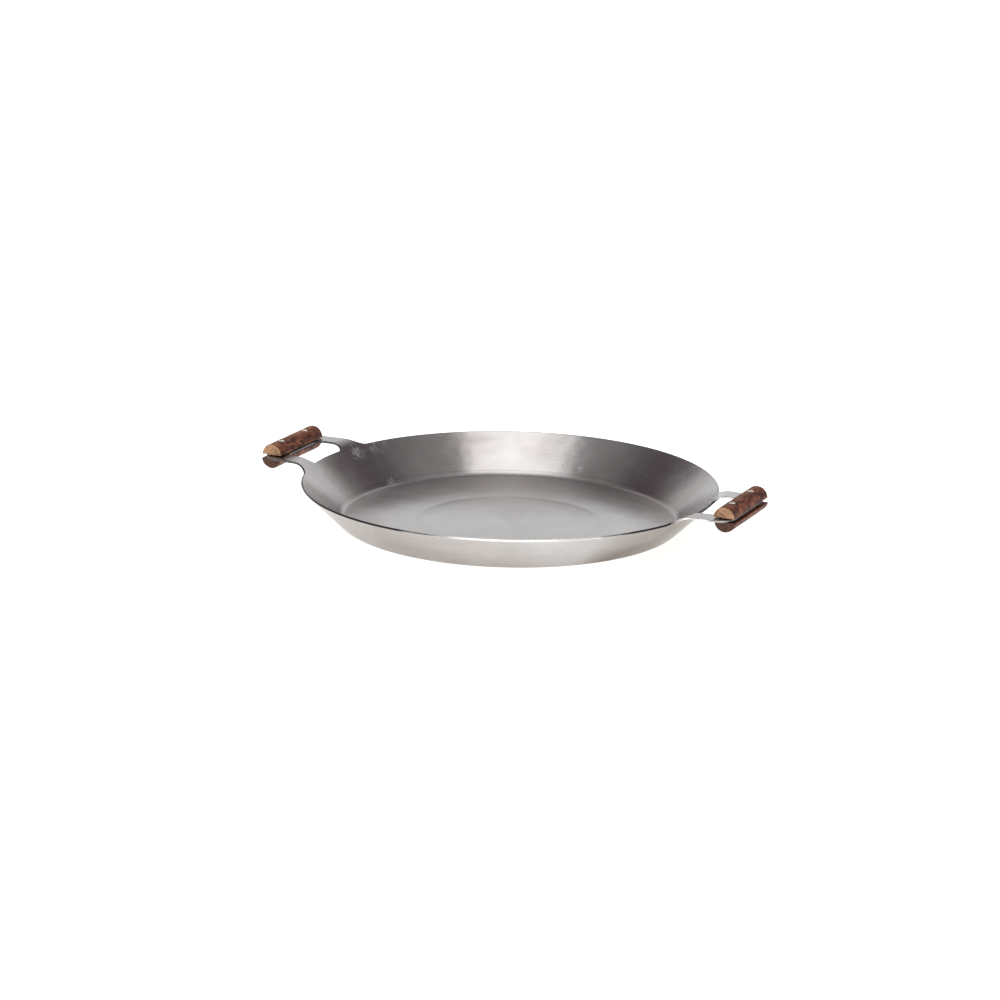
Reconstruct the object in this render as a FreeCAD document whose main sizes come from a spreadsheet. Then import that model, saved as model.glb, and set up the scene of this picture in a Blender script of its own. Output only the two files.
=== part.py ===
"""Shallow round steel cooking pan with two wood-gripped ears, as a parametric FreeCAD document.

Millimetres. +Z is up, +X runs through the right-hand grip and +Y points to the rear. The origin is
on the surface that the pan stands on, under the middle of its floor.

The pan is one pressed sheet: a round dish whose wall runs on into two flat ears. Its inner surface is
turned with a flange all round, trimmed along one outline that leaves the rim and the ears, and then
thickened outwards, so that every trimmed edge stands square to the sheet.
Each ear's outer bar is held between an upper and a lower wooden grip. Two button-head screws go
down through both, with plain washers between wood and steel and nuts sunk into the lower grip.
"""

import FreeCAD, Part
import math
import os
import Sketcher

DIMENSIONS = (
    # Dish
    ("sheet_thickness", 3.0),
    ("rim_radius", 290.0),
    ("rim_height", 59.1),
    ("disc_radius", 128.0),
    ("floor_rise", 1.9),
    ("wall_angle", 44.0),
    ("base_bend_radius", 12.0),
    ("flange_radius", 365.0),
    # Ears
    ("plate_top_height", 67.5),
    ("ear_end_reach", 356.0),
    ("ear_end_half_width", 73.5),
    ("ear_taper", 3.6),
    ("ear_end_corner", 26.0),
    ("ear_root_corner", 30.0),
    ("opening_end_reach", 328.5),
    ("opening_half_width", 47.5),
    ("opening_end_corner", 14.0),
    ("opening_root_corner", 10.0),
    # Grips
    ("grip_reach", 344.0),
    ("grip_length", 126.5),
    ("grip_radius", 15.3),
    ("upper_grip_depth", 15.3),
    ("lower_grip_depth", 13.8),
    ("upper_grip_shift", 0.0),
    ("lower_grip_shift", 1.2),
    ("grip_end_round", 1.2),
    ("upper_seat_height", 11.3),
    ("lower_seat_height", 5.3),
    ("upper_counterbore", 12.0),
    ("lower_counterbore", 13.0),
    # Fasteners
    ("screw_half_spacing", 35.0),
    ("clearance_hole", 6.6),
    ("screw_diameter", 6.0),
    ("screw_length", 30.0),
    ("screw_tip_chamfer", 0.5),
    ("head_diameter", 10.5),
    ("head_height", 3.3),
    ("head_round", 2.6),
    ("socket_width", 4.0),
    ("socket_depth", 2.1),
    ("nut_width", 10.0),
    ("nut_height", 5.0),
    ("nut_bore", 6.1),
    ("nut_chamfer_radius", 4.9),
    ("nut_chamfer_height", 0.75),
    ("washer_diameter", 12.0),
    ("washer_bore", 6.4),
    ("washer_thickness", 1.6),
)

SIDES = (("left", -1), ("right", 1))
ENDS = (("front", -1), ("rear", 1))

# Names for the ends of a sketch element, and for the sketch's own origin and axes
START, END, CENTRE = 1, 2, 3
ORIGIN = (-1, 1)
X_AXIS, Y_AXIS = -1, -2

# Heights of the stack on each ear, from the plate outwards
UPPER_FLAT = "sizes.plate_top_height + sizes.washer_thickness"
PLATE_UNDERSIDE = "sizes.plate_top_height - sizes.sheet_thickness"
LOWER_FLAT = PLATE_UNDERSIDE + " - sizes.washer_thickness"
SCREW_SEAT = UPPER_FLAT + " + sizes.upper_seat_height"
NUT_WASHER_FLOOR = LOWER_FLAT + " - sizes.lower_seat_height - sizes.washer_thickness"
NUT_FLOOR = NUT_WASHER_FLOOR + " - sizes.nut_height"

# Height of the upright block that trims the pan, enough to pass it both ways
TRIM_HEIGHT = "4 * sizes.plate_top_height"

TOLERANCE = 1e-4

document = FreeCAD.newDocument("steel_pan")


def make_sheet():
    """The spreadsheet that holds every driving dimension under its alias."""
    sheet = document.addObject("Spreadsheet::Sheet", "sizes")
    for row, (alias, value) in enumerate(DIMENSIONS, start=1):
        sheet.set(f"A{row}", alias)
        sheet.set(f"B{row}", str(value))
        sheet.setAlias(f"B{row}", alias)
    document.recompute()
    return sheet


sheet = make_sheet()


# Helpers for bodies, sketches and their dimensions

def new_body(label):
    """An empty PartDesign body whose label names its file."""
    body = document.addObject("PartDesign::Body", label)
    body.Label = label
    return body


def new_sketch(body, name, role="XY_Plane", height=None):
    """A sketch on one of the body's own origin planes, raised by the height if one is given."""
    sketch = body.newObject("Sketcher::SketchObject", name)
    plane = next(item for item in body.Origin.OriginFeatures if item.Role == role)
    sketch.AttachmentSupport = [(plane, "")]
    sketch.MapMode = "FlatFace"
    if height:
        sketch.setExpression("AttachmentOffset.Base.z", height)
    return sketch


def value_of(expression):
    """The number that an expression gives with the sheet as it stands."""
    return float(sheet.evalExpression(expression))


def dimension(sketch, kind, references, expression):
    """A dimension that follows an expression on the sheet."""
    value = value_of(expression)
    if kind == "Angle":
        value = math.radians(value)
    index = sketch.addConstraint(Sketcher.Constraint(kind, *references, value))
    sketch.setExpression(f"Constraints[{index}]", expression)


def pin(sketch, vertex, x, y):
    """Fix a vertex at the place that two expressions give."""
    for kind, axis, expression in (("DistanceX", Y_AXIS, x), ("DistanceY", X_AXIS, y)):
        value = value_of(expression)
        if abs(value) < TOLERANCE:
            sketch.addConstraint(Sketcher.Constraint("PointOnObject", *vertex, axis))
        elif value > 0:
            dimension(sketch, kind, (*ORIGIN, *vertex), expression)
        else:
            dimension(sketch, kind, (*vertex, *ORIGIN), f"-({expression})")


def chain(sketch, corners):
    """A closed chain of lines through the corners; returns the first line's number."""
    first = sketch.GeometryCount
    points = [FreeCAD.Vector(x, y, 0) for x, y in corners]
    for start, end in zip(points, points[1:] + points[:1]):
        sketch.addGeometry(Part.LineSegment(start, end), False)
    lines = list(range(first, first + len(points)))
    for line, following in zip(lines, lines[1:] + lines[:1]):
        sketch.addConstraint(Sketcher.Constraint("Coincident", line, END, following, START))
    return first


def pinned_polygon(sketch, corners):
    """A polygon whose every corner is given by a pair of expressions."""
    first = chain(sketch, [(value_of(x), value_of(y)) for x, y in corners])
    for number, (x, y) in enumerate(corners):
        pin(sketch, (first + number, START), x, y)


def circle(sketch, diameter, x="0", y="0"):
    """A circle of the given diameter about a point."""
    centre = FreeCAD.Vector(value_of(x), value_of(y), 0)
    normal = FreeCAD.Vector(0, 0, 1)
    number = sketch.addGeometry(Part.Circle(centre, normal, value_of(diameter) / 2), False)
    dimension(sketch, "Diameter", (number,), diameter)
    pin(sketch, (number, CENTRE), x, y)


def hexagon(sketch, width):
    """A hexagon of the given width across flats, centred on the sketch's origin."""
    corners = []
    for step in range(6):
        turn = 60 * step
        corners.append((f"{width} / sqrt(3) * cos({turn})", f"{width} / sqrt(3) * sin({turn})"))
    pinned_polygon(sketch, corners)


# Helpers for features

def pad(body, name, sketch, length, both_ways=False, downwards=False):
    """A pad of the sketch, as long as the expression says."""
    feature = body.newObject("PartDesign::Pad", name)
    feature.Profile = sketch
    feature.SideType = "Symmetric" if both_ways else "One side"
    feature.Reversed = downwards
    feature.setExpression("Length", length)
    return feature


def cut_through(body, name, sketch, upwards_only=False):
    """A pocket of the sketch through the whole body, or through all that lies above the sketch."""
    before = tip_volume(body)
    feature = body.newObject("PartDesign::Pocket", name)
    feature.Profile = sketch
    feature.Type = "ThroughAll"
    feature.SideType = "One side" if upwards_only else "Symmetric"
    feature.Reversed = upwards_only
    require_less_volume(body, before)
    return feature


def sink(body, name, sketch, depth):
    """A pocket of the given depth below the sketch."""
    before = tip_volume(body)
    feature = body.newObject("PartDesign::Pocket", name)
    feature.Profile = sketch
    feature.setExpression("Length", depth)
    require_less_volume(body, before)
    return feature


def spin(body, kind, name, sketch):
    """A full turn of the sketch about its vertical axis, added or cut away."""
    feature = body.newObject(kind, name)
    feature.Profile = sketch
    feature.ReferenceAxis = (sketch, ["V_Axis"])
    feature.Angle = 360.0
    return feature


def dress_edges(body, kind, name, size, wanted):
    """A fillet or a chamfer along those of the body's edges that the test picks out."""
    document.recompute()
    base = body.Tip
    names = [f"Edge{number}" for number, edge in enumerate(base.Shape.Edges, 1) if wanted(edge)]
    if not names:
        raise ValueError(f"{name} has no edge to dress")
    feature = body.newObject(f"PartDesign::{kind}", name)
    feature.Base = (base, names)
    feature.setExpression({"Fillet": "Radius", "Chamfer": "Size"}[kind], size)
    return feature


def tip_volume(body):
    """The body's volume after its latest feature."""
    document.recompute()
    return body.Tip.Shape.Volume


def require_less_volume(body, before):
    """Stop if the latest cut took nothing away."""
    if tip_volume(body) > before - TOLERANCE:
        raise ValueError(f"{body.Tip.Name} cuts nothing")


def is_hoop(edge, x, z):
    """Whether an edge is a full circle about the vertical axis, through the given radius and height."""
    if not edge.isClosed():
        return False
    return edge.distToShape(Part.Vertex(x, 0, z))[0] < TOLERANCE


def is_upright(edge):
    """Whether an edge is a straight vertical line."""
    first, last = edge.firstVertex().Point, edge.lastVertex().Point
    return math.hypot(last.x - first.x, last.y - first.y) < TOLERANCE < abs(last.z - first.z)


def place(item, x, y, z):
    """Stand a sub-part at the place that three expressions give."""
    for axis, expression in (("x", x), ("y", y), ("z", z)):
        item.setExpression(f"Placement.Base.{axis}", expression)


# The pan: its inner surface, trimmed along the outline of the rim and ears, then thickened

def inner_section():
    """Half section of the inner surface: flat disc, gently rising floor, wall, level ear plate.

    The bend into the ear starts exactly at the rim, so the ears leave the wall smoothly.
    """
    sketch = document.addObject("Sketcher::SketchObject", "inner_section")
    sketch.Placement.Rotation = FreeCAD.Rotation(FreeCAD.Vector(1, 0, 0), 90)
    disc, thickness = value_of("sizes.disc_radius"), value_of("sizes.sheet_thickness")
    rim_x, rim_z = value_of("sizes.rim_radius"), value_of("sizes.rim_height")
    flange, plate_top = value_of("sizes.flange_radius"), value_of("sizes.plate_top_height")
    rise = math.radians(value_of("sizes.floor_rise"))
    slope = math.radians(value_of("sizes.wall_angle"))
    bend = value_of("sizes.base_bend_radius")
    ear_bend = (plate_top - rim_z) / (1 - math.cos(slope))
    foot_x = rim_z - thickness + disc * math.tan(rise) - rim_x * math.tan(slope)
    foot_x /= math.tan(rise) - math.tan(slope)
    foot_z = thickness + (foot_x - disc) * math.tan(rise)
    trim = bend * math.tan((slope - rise) / 2)
    floor_end = FreeCAD.Vector(foot_x - trim * math.cos(rise), foot_z - trim * math.sin(rise), 0)
    wall_start = FreeCAD.Vector(foot_x + trim * math.cos(slope), foot_z + trim * math.sin(slope), 0)
    upright = math.pi / 2
    bend_centre = floor_end + FreeCAD.Vector(-bend * math.sin(rise), bend * math.cos(rise), 0)
    ear_centre = FreeCAD.Vector(rim_x + ear_bend * math.sin(slope), plate_top - ear_bend, 0)
    shoulder = ear_centre + FreeCAD.Vector(0, ear_bend, 0)
    disc_edge = FreeCAD.Vector(disc, thickness, 0)
    rim = FreeCAD.Vector(rim_x, rim_z, 0)
    normal = FreeCAD.Vector(0, 0, 1)
    base_circle = Part.Circle(bend_centre, normal, bend)
    ear_circle = Part.Circle(ear_centre, normal, ear_bend)
    disc_line, floor_line, base_arc, wall_line, ear_arc, plate_line = sketch.addGeometry([
        Part.LineSegment(FreeCAD.Vector(0, thickness, 0), disc_edge),
        Part.LineSegment(disc_edge, floor_end),
        Part.ArcOfCircle(base_circle, rise - upright, slope - upright),
        Part.LineSegment(wall_start, rim),
        Part.ArcOfCircle(ear_circle, upright, upright + slope),
        Part.LineSegment(shoulder, FreeCAD.Vector(flange, plate_top, 0)),
    ], False)
    for line in (disc_line, plate_line):
        sketch.addConstraint(Sketcher.Constraint("Horizontal", line))
    sketch.addConstraint(Sketcher.Constraint("Coincident", disc_line, END, floor_line, START))
    for joint in (
        (floor_line, END, base_arc, START),
        (base_arc, END, wall_line, START),
        (wall_line, END, ear_arc, END),
        (ear_arc, START, plate_line, START),
    ):
        sketch.addConstraint(Sketcher.Constraint("Tangent", *joint))
    pin(sketch, (disc_line, START), "0", "sizes.sheet_thickness")
    pin(sketch, (wall_line, END), "sizes.rim_radius", "sizes.rim_height")
    pin(sketch, (plate_line, END), "sizes.flange_radius", "sizes.plate_top_height")
    dimension(sketch, "DistanceX", (*ORIGIN, disc_line, END), "sizes.disc_radius")
    dimension(sketch, "Angle", (floor_line,), "sizes.floor_rise")
    dimension(sketch, "Angle", (wall_line,), "sizes.wall_angle")
    dimension(sketch, "Radius", (base_arc,), "sizes.base_bend_radius")
    return sketch


def inner_surface():
    """The inner surface of the dish and of a full level flange, as one turned surface."""
    surface = document.addObject("Part::Revolution", "inner_surface")
    surface.Source = inner_section()
    surface.Axis = (0, 0, 1)
    surface.Angle = 360
    surface.Solid = False
    return surface


def ear_blanks(body):
    """Both ears in one tapered strip across the pan, with the corners of its ends rounded."""
    sketch = new_sketch(body, "ear_strip_outline")
    reach = "sizes.ear_end_reach"
    narrow = "sizes.ear_end_half_width"
    wide = f"{narrow} + {reach} * tan(sizes.ear_taper)"
    corners = [(reach, f"-{narrow}"), (reach, narrow), ("0", wide)]
    corners += [(f"-{reach}", narrow), (f"-{reach}", f"-{narrow}"), ("0", f"-({wide})")]
    pinned_polygon(sketch, corners)
    pad(body, "ear_strip", sketch, TRIM_HEIGHT, both_ways=True)
    end = value_of(reach)

    def at_ear_end(edge):
        return is_upright(edge) and abs(abs(edge.firstVertex().Point.x) - end) < TOLERANCE

    dress_edges(body, "Fillet", "ear_end_corners", "sizes.ear_end_corner", at_ear_end)


def ear_openings(body):
    """The finger gap in each ear; the rim disc closes its inner side afterwards."""
    sketch = new_sketch(body, "opening_outline")
    far = "sizes.opening_end_reach"
    near = "sizes.disc_radius"
    half = "sizes.opening_half_width"
    for _, side in SIDES:
        x_far, x_near = f"{side} * {far}", f"{side} * {near}"
        corners = [(x_near, f"-{half}"), (x_far, f"-{half}"), (x_far, half), (x_near, half)]
        pinned_polygon(sketch, corners)
    cut_through(body, "openings", sketch)
    end = value_of(far)

    def at_opening_end(edge):
        return is_upright(edge) and abs(abs(edge.firstVertex().Point.x) - end) < TOLERANCE

    dress_edges(body, "Fillet", "opening_end_corners", "sizes.opening_end_corner", at_opening_end)


def rim_disc(body):
    """The round of the rim, blended into the outside and the inside of each ear's arms."""
    sketch = new_sketch(body, "rim_outline")
    circle(sketch, "2 * sizes.rim_radius")
    pad(body, "rim_round", sketch, TRIM_HEIGHT, both_ways=True)
    radius = value_of("sizes.rim_radius")
    half_opening = value_of("sizes.opening_half_width")

    def at_root(edge, outside):
        point = edge.firstVertex().Point
        on_rim = abs(math.hypot(point.x, point.y) - radius) < TOLERANCE
        return is_upright(edge) and on_rim and (abs(point.y) > half_opening + TOLERANCE) == outside

    for name, outside in (("ear_root_corner", True), ("opening_root_corner", False)):
        dress_edges(body, "Fillet", f"{name}s", f"sizes.{name}", lambda edge: at_root(edge, outside))


def at_screws():
    """The four screw axes, each as side, end and a pair of expressions for x and y."""
    for side_name, side in SIDES:
        for end_name, end in ENDS:
            x = f"{side} * sizes.grip_reach"
            y = f"{end} * sizes.screw_half_spacing"
            yield f"{side_name}_{end_name}", x, y


def trim_outline():
    """An upright block with the plan outline of the pan, its ears, openings and screw holes."""
    body = new_body("trim_outline")
    ear_blanks(body)
    ear_openings(body)
    rim_disc(body)
    sketch = new_sketch(body, "plate_hole_centres")
    for _, x, y in at_screws():
        circle(sketch, "sizes.clearance_hole", x, y)
    cut_through(body, "plate_holes", sketch)
    return body


def make_pan():
    """The pan body: its trimmed inner surface, thickened outwards with its edges square to it."""
    trimmed = document.addObject("Part::Common", "trimmed_surface")
    trimmed.Base = inner_surface()
    trimmed.Tool = trim_outline()
    pan = document.addObject("Part::Offset", "pan_body")
    pan.Label = "pan_body"
    pan.Source = trimmed
    pan.Fill = True
    pan.setExpression("Value", "sizes.sheet_thickness")
    return pan


# Wooden grips

def make_grip(side_name, side, level):
    """One grip half: a round segment with its flat down, two screw holes and their counterbores.

    The lower half is the same piece turned over, planed a little flatter and set slightly further
    out, so its holes lie off its middle line.
    """
    body = new_body(f"{side_name}_{level}_grip")
    depth = f"sizes.{level}_grip_depth"
    section = new_sketch(body, f"{body.Label}_section", "XZ_Plane")
    radius, height = value_of("sizes.grip_radius"), value_of(depth)
    half_chord = math.sqrt(radius ** 2 - (radius - height) ** 2)
    ends = [FreeCAD.Vector(x, 0, 0) for x in (half_chord, -half_chord)]
    crest = FreeCAD.Vector(0, height, 0)
    arc = section.addGeometry(Part.Arc(ends[0], crest, ends[1]), False)
    chord = section.addGeometry(Part.LineSegment(ends[1], ends[0]), False)
    section.addConstraint(Sketcher.Constraint("Coincident", arc, END, chord, START))
    section.addConstraint(Sketcher.Constraint("Coincident", chord, END, arc, START))
    section.addConstraint(Sketcher.Constraint("PointOnObject", chord, START, X_AXIS))
    section.addConstraint(Sketcher.Constraint("Horizontal", chord))
    dimension(section, "Radius", (arc,), "sizes.grip_radius")
    pin(section, (arc, CENTRE), "0", f"{depth} - sizes.grip_radius")
    pad(body, f"{body.Label}_length", section, "sizes.grip_length", both_ways=True)
    half_length = value_of("sizes.grip_length / 2")

    def on_end_curve(edge):
        curved = isinstance(edge.Curve, Part.Circle)
        return curved and abs(abs(edge.CenterOfMass.y) - half_length) < TOLERANCE

    dress_edges(body, "Fillet", f"{body.Label}_ends", "sizes.grip_end_round", on_end_curve)
    hole_line = f"{side} * sizes.{level}_grip_shift"
    holes = new_sketch(body, f"{body.Label}_hole_centres")
    seats = new_sketch(body, f"{body.Label}_seats", height=f"sizes.{level}_seat_height")
    for _, end in ENDS:
        y = f"{end} * sizes.screw_half_spacing"
        circle(holes, "sizes.clearance_hole", hole_line, y)
        circle(seats, f"sizes.{level}_counterbore", hole_line, y)
    cut_through(body, f"{body.Label}_holes", holes)
    cut_through(body, f"{body.Label}_counterbores", seats, upwards_only=True)
    reach = f"{side} * (sizes.grip_reach + sizes.{level}_grip_shift)"
    if level == "lower":
        body.Placement.Rotation = FreeCAD.Rotation(FreeCAD.Vector(0, 1, 0), 180)
        place(body, reach, "0", LOWER_FLAT)
    else:
        place(body, reach, "0", UPPER_FLAT)
    return body


# Fasteners

def make_screw(label, x, y):
    """A button-head socket screw with the underside of its head at its own origin."""
    body = new_body(label)
    shank = new_sketch(body, f"{label}_shank_circle")
    circle(shank, "sizes.screw_diameter")
    pad(body, f"{label}_shank", shank, "sizes.screw_length", downwards=True)
    tip = -value_of("sizes.screw_length")
    radius = value_of("sizes.screw_diameter / 2")

    def at_tip(edge):
        return is_hoop(edge, radius, tip)

    dress_edges(body, "Chamfer", f"{label}_tip", "sizes.screw_tip_chamfer", at_tip)
    head = new_sketch(body, f"{label}_head_circle")
    circle(head, "sizes.head_diameter")
    pad(body, f"{label}_head", head, "sizes.head_height")
    top = value_of("sizes.head_height")
    head_radius = value_of("sizes.head_diameter / 2")

    def round_head(edge):
        return is_hoop(edge, head_radius, top)

    dress_edges(body, "Fillet", f"{label}_dome", "sizes.head_round", round_head)
    socket = new_sketch(body, f"{label}_socket_hexagon", height="sizes.head_height")
    hexagon(socket, "sizes.socket_width")
    sink(body, f"{label}_socket", socket, "sizes.socket_depth")
    place(body, x, y, SCREW_SEAT)
    return body


def make_nut(label, x, y):
    """A hexagon nut with both faces chamfered round their corners, its lower face at its origin."""
    body = new_body(label)
    outline = new_sketch(body, f"{label}_hexagon")
    hexagon(outline, "sizes.nut_width")
    pad(body, f"{label}_block", outline, "sizes.nut_height")
    bore = new_sketch(body, f"{label}_bore_circle")
    circle(bore, "sizes.nut_bore")
    cut_through(body, f"{label}_bore", bore)
    before = tip_volume(body)
    section = new_sketch(body, f"{label}_chamfer_section", "XZ_Plane")
    inner, outer = "sizes.nut_chamfer_radius", "sizes.nut_width"
    drop = f"sizes.nut_chamfer_height * ({outer} - {inner}) / ({outer} / sqrt(3) - {inner})"
    height = "sizes.nut_height"
    pinned_polygon(section, [(inner, height), (outer, f"{height} - {drop}"), (outer, height)])
    pinned_polygon(section, [(inner, "0"), (outer, "0"), (outer, drop)])
    spin(body, "PartDesign::Groove", f"{label}_chamfers", section)
    require_less_volume(body, before)
    place(body, x, y, NUT_FLOOR)
    return body


def make_washer(label, x, y, height):
    """A plain washer with its lower face at its own origin."""
    body = new_body(label)
    section = new_sketch(body, f"{label}_ring")
    circle(section, "sizes.washer_diameter")
    circle(section, "sizes.washer_bore")
    pad(body, f"{label}_plate", section, "sizes.washer_thickness")
    place(body, x, y, height)
    return body


def make_fasteners():
    """Screw, nut and three washers on each of the four screw axes."""
    parts = []
    for where, x, y in at_screws():
        parts.append(make_screw(f"{where}_screw", x, y))
        parts.append(make_washer(f"{where}_upper_spacer", x, y, "sizes.plate_top_height"))
        parts.append(make_washer(f"{where}_lower_spacer", x, y, LOWER_FLAT))
        parts.append(make_washer(f"{where}_nut_washer", x, y, NUT_WASHER_FLOOR))
        parts.append(make_nut(f"{where}_nut", x, y))
    return parts


def check(parts):
    """Stop if any object failed, or any sub-part isn't one valid solid."""
    for item in document.Objects:
        if "Invalid" in item.State or "Error" in item.State:
            raise ValueError(f"{item.Name} failed: {item.State}")
    for part in parts:
        shape = part.Shape
        if shape.isNull() or not shape.isValid() or len(shape.Solids) != 1:
            raise ValueError(f"{part.Label} isn't one valid solid")


def write(parts):
    """One STEP file for each sub-part, named after its label."""
    os.makedirs("parts", exist_ok=True)
    for part in parts:
        part.Shape.exportStep(f"parts/{part.Label}.step")
        box = part.Shape.BoundBox
        low = f"{box.XMin:.2f} {box.YMin:.2f} {box.ZMin:.2f}"
        high = f"{box.XMax:.2f} {box.YMax:.2f} {box.ZMax:.2f}"
        print(f"{part.Label}: {part.Shape.Volume:.0f} mm3, from {low} to {high}")


def main():
    parts = [make_pan()]
    for side_name, side in SIDES:
        for level in ("upper", "lower"):
            parts.append(make_grip(side_name, side, level))
    parts += make_fasteners()
    document.recompute()
    check(parts)
    write(parts)


main()
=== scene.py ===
"""Looks of the two-handled steel pan: finer meshes, procedural materials and a plain pale studio.

Metres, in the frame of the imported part. +X runs through the right-hand grip, +Y to the rear.
"""

import math

import bmesh
import bpy
import numpy as np
from mathutils import Matrix, Vector, noise
from mathutils.geometry import delaunay_2d_cdt


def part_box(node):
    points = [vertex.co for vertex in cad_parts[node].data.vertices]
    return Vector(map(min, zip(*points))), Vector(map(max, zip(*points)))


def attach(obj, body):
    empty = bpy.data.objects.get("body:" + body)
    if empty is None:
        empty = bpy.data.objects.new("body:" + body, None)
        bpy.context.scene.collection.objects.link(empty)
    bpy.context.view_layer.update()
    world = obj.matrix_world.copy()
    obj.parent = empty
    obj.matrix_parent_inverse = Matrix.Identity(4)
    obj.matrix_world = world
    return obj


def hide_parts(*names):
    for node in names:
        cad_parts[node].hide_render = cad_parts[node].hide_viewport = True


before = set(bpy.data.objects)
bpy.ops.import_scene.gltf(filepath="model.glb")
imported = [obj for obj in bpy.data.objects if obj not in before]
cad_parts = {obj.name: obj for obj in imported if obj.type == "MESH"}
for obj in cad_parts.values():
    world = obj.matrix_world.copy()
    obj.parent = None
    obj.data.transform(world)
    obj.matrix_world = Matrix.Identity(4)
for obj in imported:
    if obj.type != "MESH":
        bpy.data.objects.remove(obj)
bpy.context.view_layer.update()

MM = 0.001
SIDES = {"left": -1, "right": 1}
ENDS = {"front": -1, "rear": 1}

# ---------------------------------------------------------------- dimensions

pan_low, pan_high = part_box("pan_body")
PLATE_TOP = pan_high.z
EAR_END = pan_high.x
SHEET = 3.0 * MM
RIM_HEIGHT = 59.1 * MM
DISC = 128.0 * MM
FLOOR_RISE = math.radians(1.9)
WALL_ANGLE = math.radians(44.0)
RIM = pan_high.y - SHEET * math.sin(WALL_ANGLE)
BASE_BEND = 12.0 * MM
EAR_HALF_WIDTH = 73.5 * MM
EAR_TAPER = math.radians(3.6)
EAR_END_CORNER = 26.0 * MM
EAR_ROOT_CORNER = 30.0 * MM
OPENING_END = 328.5 * MM
OPENING_HALF_WIDTH = 47.5 * MM
OPENING_END_CORNER = 14.0 * MM
OPENING_ROOT_CORNER = 10.0 * MM
SCREW_HOLE = 3.3 * MM
EDGE_ROUND = 0.6 * MM
BEND_STEPS = 120
SECTION_END = EAR_END + 15 * MM
SECTION_STEP = 0.2 * MM
SECTION_SOFTENING = 9
EAR_CORNER_STEPS = 24
OPENING_STEPS = 12
OPENING_END_STEPS = 14
RIM_STEPS_PER_DEGREE = 1.2
OUTLINE_STEP = 5 * MM
OPENING_STEP = 4 * MM
HOLE_SIDES = 36


# ------------------------------------------------------------- mesh helpers

def new_object(name, verts, faces, normals=None):
    mesh = bpy.data.meshes.new(name)
    mesh.from_pydata([tuple(v) for v in verts], [], [tuple(f) for f in faces])
    mesh.update()
    for polygon in mesh.polygons:
        polygon.use_smooth = True
    if normals is not None:
        mesh.normals_split_custom_set_from_vertices([tuple(n) for n in normals])
    piece = bpy.data.objects.new(name, mesh)
    bpy.context.scene.collection.objects.link(piece)
    return piece


def screw_place(side_name):
    """The reach from the pan's middle and the half spacing of one side's two screws."""
    low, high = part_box(f"{side_name}_rear_screw")
    return abs(low.x + high.x) / 2, (low.y + high.y) / 2


def screw_axes():
    for side_name, side in SIDES.items():
        reach, spacing = screw_place(side_name)
        for end in ENDS.values():
            yield side * reach, end * spacing


# ---------------------------------------------------------------- pan profile

def arc_points(centre, radius, start, end, steps):
    """Points of an arc in a plane, with both ends, from one angle to another."""
    angles = np.linspace(start, end, steps + 1)
    return np.column_stack((
        centre[0] + radius * np.cos(angles),
        centre[1] + radius * np.sin(angles),
    ))


def sheet_section():
    """Radii and heights along the pan's inner surface, from its middle to past the ears."""
    wall_slope = math.tan(WALL_ANGLE)
    floor_slope = math.tan(FLOOR_RISE)
    corner_r = (SHEET - DISC * floor_slope - RIM_HEIGHT + RIM * wall_slope) / (wall_slope - floor_slope)
    corner_z = SHEET + (corner_r - DISC) * floor_slope
    trim = BASE_BEND * math.tan((WALL_ANGLE - FLOOR_RISE) / 2)
    bend_r = corner_r - trim * math.cos(FLOOR_RISE) - BASE_BEND * math.sin(FLOOR_RISE)
    bend_z = corner_z - trim * math.sin(FLOOR_RISE) + BASE_BEND * math.cos(FLOOR_RISE)
    ear_bend = (PLATE_TOP - RIM_HEIGHT) / (1 - math.cos(WALL_ANGLE))
    shoulder_r = RIM + ear_bend * math.sin(WALL_ANGLE)
    base = np.linspace(FLOOR_RISE, WALL_ANGLE, BEND_STEPS)
    ear = np.linspace(WALL_ANGLE, 0, BEND_STEPS)
    radii = np.concatenate((
        [0, DISC],
        bend_r + BASE_BEND * np.sin(base),
        shoulder_r - ear_bend * np.sin(ear),
        [SECTION_END],
    ))
    heights = np.concatenate((
        [SHEET, SHEET],
        bend_z - BASE_BEND * np.cos(base),
        PLATE_TOP - ear_bend + ear_bend * np.cos(ear),
        [PLATE_TOP],
    ))
    fine = np.arange(0, SECTION_END, SECTION_STEP)
    return fine, np.interp(fine, radii, heights)


def soften(values, reach):
    """A moving average over the section, applied twice."""
    kernel = np.ones(reach) / reach
    for _ in range(2):
        padded = np.pad(values, reach, mode="edge")
        values = np.convolve(padded, kernel, mode="same")[reach:-reach]
    return values


def softened_section():
    """Radii, heights and slope angles along the section, with a gentle start and end to each bend."""
    radii, heights = sheet_section()
    slope = soften(np.gradient(heights, radii), SECTION_SOFTENING)
    rises = (slope[1:] + slope[:-1]) / 2 * np.diff(radii)
    return radii, heights[0] + np.concatenate(([0], np.cumsum(rises))), np.arctan(slope)


SECTION_R, SECTION_Z, SECTION_ANGLE = softened_section()


def surface(points):
    """Places on the inner surface above plan points, with the surface's unit normals there."""
    radius = np.hypot(points[:, 0], points[:, 1])
    safe = np.maximum(radius, 1e-9)
    height = np.interp(radius, SECTION_R, SECTION_Z)
    angle = np.interp(radius, SECTION_R, SECTION_ANGLE)
    normal = np.column_stack((
        -np.sin(angle) * points[:, 0] / safe,
        -np.sin(angle) * points[:, 1] / safe,
        np.cos(angle),
    ))
    return np.column_stack((points, height)), normal


# ---------------------------------------------------------------- pan outline

def spread(points, step):
    """Extra points along a closed loop's straight runs, so that none is longer than step."""
    made = []
    for a, b in zip(points, np.roll(points, -1, axis=0)):
        pieces = max(1, math.ceil(np.linalg.norm(b - a) / step))
        for k in range(pieces):
            made.append(a + (b - a) * k / pieces)
    return np.array(made)


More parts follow.
